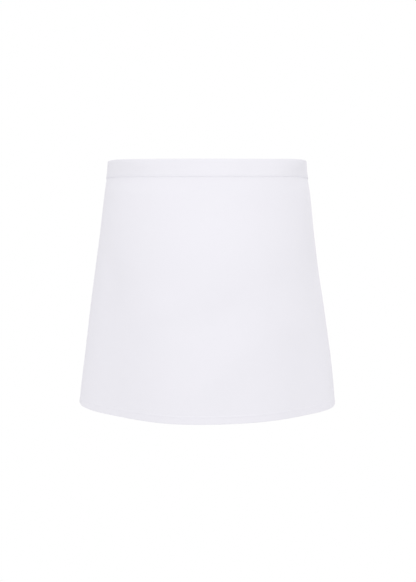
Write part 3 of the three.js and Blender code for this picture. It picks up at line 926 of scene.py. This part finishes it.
def twill_material(name, whiteness):
    """Matt cotton twill: diagonal ribs crossed by single yarns, faint slubs and uneven whiteness, with
    painted shade in the weave's hollows.
    """
    material, tree, shader = matt_material(name, sheen=TWILL_SHEEN)
    flat = wire(tree, "ShaderNodeUVMap", {}, uv_map="cloth").outputs["UV"]
    place = tree.nodes.new("ShaderNodeTexCoord").outputs["Object"]
    ribs = wire(tree, "ShaderNodeTexWave", {
        "Vector": flat, "Scale": 2 * math.pi / (DIAGONAL_WAVE * math.sqrt(2) * RIB_SPACING),
        "Distortion": RIB_UNEVENNESS, "Detail": RIB_DETAIL, "Detail Scale": RIB_DETAIL_SCALE,
    }, bands_direction="DIAGONAL")
    yarns = wire(tree, "ShaderNodeTexWave", {
        "Vector": flat, "Scale": 2 * math.pi / (STRAIGHT_WAVE * YARN_SPACING),
        "Distortion": YARN_UNEVENNESS,
    }, bands_direction="Y")
    weave = wire(tree, "ShaderNodeMath", {0: yarns.outputs["Fac"], 1: YARN_SHARE, 2: ribs.outputs["Fac"]},
                 operation="MULTIPLY_ADD").outputs["Value"]
    drawn = wire(tree, "ShaderNodeMapping", {"Vector": flat, "Scale": SLUB_STRETCH})
    slubs = wire(tree, "ShaderNodeTexNoise", {
        "Vector": drawn.outputs["Vector"], "Scale": 1.0, "Detail": SLUB_DETAIL})
    relief = wire(tree, "ShaderNodeMath", {0: slubs.outputs["Fac"], 1: SLUB_SHARE, 2: weave},
                  operation="MULTIPLY_ADD").outputs["Value"]
    bump = wire(tree, "ShaderNodeBump", {
        "Height": relief, "Strength": WEAVE_STRENGTH, "Distance": WEAVE_DEPTH})
    tree.links.new(bump.outputs["Normal"], shader.inputs["Normal"])
    patches = wire(tree, "ShaderNodeTexNoise", {
        "Vector": place, "Scale": PATCH_SCALE, "Detail": PATCH_DETAIL})
    # painted shade: the weave's and slubs' low parts are painted darker; the patches are random uneven
    # whiteness
    tone = wire(tree, "ShaderNodeMath", {0: relief, 1: WEAVE_HOLLOW_SHADE, 2: patches.outputs["Fac"]},
                operation="MULTIPLY_ADD").outputs["Value"]
    # a whiteness below 1 paints a shaded copy of the same twill
    dark = [value * whiteness for value in WHITE_SHADE]
    light = [value * whiteness for value in WHITE]
    tree.links.new(tone_ramp(tree, tone, dark, light), shader.inputs["Base Color"])
    rough = wire(tree, "ShaderNodeMapRange", {
        "Value": slubs.outputs["Fac"], "To Min": TWILL_ROUGHNESS[0], "To Max": TWILL_ROUGHNESS[1]})
    tree.links.new(rough.outputs["Result"], shader.inputs["Roughness"])
    return material


def thread_material():
    """White cotton thread, a little brighter and smoother than the cloth."""
    material, tree, shader = matt_material("sewing_thread", sheen=THREAD_SHEEN)
    place = tree.nodes.new("ShaderNodeTexCoord").outputs["Object"]
    fibres = wire(tree, "ShaderNodeTexNoise", {
        "Vector": place, "Scale": FIBRE_SCALE, "Detail": FIBRE_DETAIL})
    bump = wire(tree, "ShaderNodeBump", {
        "Height": fibres.outputs["Fac"], "Strength": FIBRE_STRENGTH, "Distance": FIBRE_DEPTH})
    tree.links.new(bump.outputs["Normal"], shader.inputs["Normal"])
    colour = tone_ramp(tree, fibres.outputs["Fac"], THREAD_SHADE, THREAD_WHITE)
    tree.links.new(colour, shader.inputs["Base Color"])
    rough = wire(tree, "ShaderNodeMapRange", {
        "Value": fibres.outputs["Fac"], "To Min": THREAD_ROUGHNESS[0], "To Max": THREAD_ROUGHNESS[1]})
    tree.links.new(rough.outputs["Result"], shader.inputs["Roughness"])
    return material


def make_floor():
    """A plain round floor, well below the apron."""
    bm = bmesh.new()
    bmesh.ops.create_circle(bm, cap_ends=True, segments=FLOOR_SIDES, radius=FLOOR_RADIUS,
                            matrix=Matrix.Translation((0.0, 0.0, FLOOR_HEIGHT)))
    mesh = mesh_from("studio_floor", bm)
    floor = bpy.data.objects.new("studio_floor", mesh)
    bpy.context.scene.collection.objects.link(floor)
    material, _, shader = matt_material("floor_white", sheen=0.0)
    shader.inputs["Base Color"].default_value = FLOOR_WHITE
    shader.inputs["Roughness"].default_value = FLOOR_ROUGHNESS
    shader.inputs["Emission Color"].default_value = PURE_WHITE
    shader.inputs["Emission Strength"].default_value = FLOOR_GLOW
    mesh.materials.append(material)
    floor.visible_diffuse = False


def white_surroundings():
    """White all round, which lights the cloth a little less from below and looks plain white."""
    world = bpy.data.worlds.new("white_studio")
    world.use_nodes = True
    tree = world.node_tree
    direction = tree.nodes.new("ShaderNodeTexCoord").outputs["Generated"]
    height = wire(tree, "ShaderNodeSeparateXYZ", {"Vector": direction}).outputs["Z"]
    strength = wire(tree, "ShaderNodeMapRange", {
        "Value": height, "From Min": -1.0, "From Max": 1.0, "To Min": SKY_BELOW, "To Max": SKY_ABOVE})
    soft = wire(tree, "ShaderNodeBackground", {
        "Color": PURE_WHITE, "Strength": strength.outputs["Result"]})
    plain = wire(tree, "ShaderNodeBackground", {"Color": PURE_WHITE, "Strength": 1.0})
    seen = tree.nodes.new("ShaderNodeLightPath").outputs["Is Camera Ray"]
    both = wire(tree, "ShaderNodeMixShader", {
        0: seen, 1: soft.outputs["Background"], 2: plain.outputs["Background"]})
    tree.links.new(both.outputs["Shader"], tree.nodes["World Output"].inputs["Surface"])
    bpy.context.scene.world = world


def aim_at(obj, place, target):
    """Puts a camera or light at a place, looking at a target."""
    obj.location = place
    obj.rotation_euler = (Vector(target) - Vector(place)).to_track_quat("-Z", "Y").to_euler()


def soft_light(name, power, width, height, place, target):
    """A soft rectangular light."""
    light = bpy.data.objects.new(name, bpy.data.lights.new(name, "AREA"))
    bpy.context.scene.collection.objects.link(light)
    light.data.shape = "RECTANGLE"
    light.data.size = width
    light.data.size_y = height
    light.data.energy = power
    aim_at(light, place, target)


def make_studio():
    """Camera, white surroundings, a wide soft light from the front and a square one from behind."""
    scene = bpy.context.scene
    scene.view_settings.view_transform = "Standard"
    camera = bpy.data.objects.new("camera", bpy.data.cameras.new("camera"))
    scene.collection.objects.link(camera)
    camera.data.lens = LENS
    aim_at(camera, CAMERA_PLACE, CAMERA_AIM)
    scene.camera = camera
    white_surroundings()
    soft_light("front_light", KEY_POWER, KEY_WIDTH, KEY_HEIGHT, KEY_PLACE, KEY_AIM)
    soft_light("back_light", BACK_POWER, BACK_WIDTH, BACK_HEIGHT, BACK_PLACE, BACK_AIM)


make_studio()
make_floor()
panel_twill = twill_material("panel_twill", whiteness=1.0)
# the waistband's twill is a copy of the panel's, painted a little darker as painted shade
shaded_band_twill = twill_material("shaded_band_twill", whiteness=BAND_PAINTED_SHADE)
tie_twill = twill_material("tie_twill", whiteness=1.0)
white_thread = thread_material()
make_panel(panel_twill, white_thread)
make_waistband(shaded_band_twill, white_thread)
make_knot(tie_twill)
for bow_name, bow_side, loop_reach, loop_droop, tail_length, tail_spread in BOW_SIDES:
    make_tie(bow_name, bow_side, white_thread, tie_twill)
    make_loop(bow_name, bow_side, loop_reach, loop_droop, white_thread, tie_twill)
    make_tail(bow_name, bow_side, tail_length, tail_spread, white_thread, tie_twill)
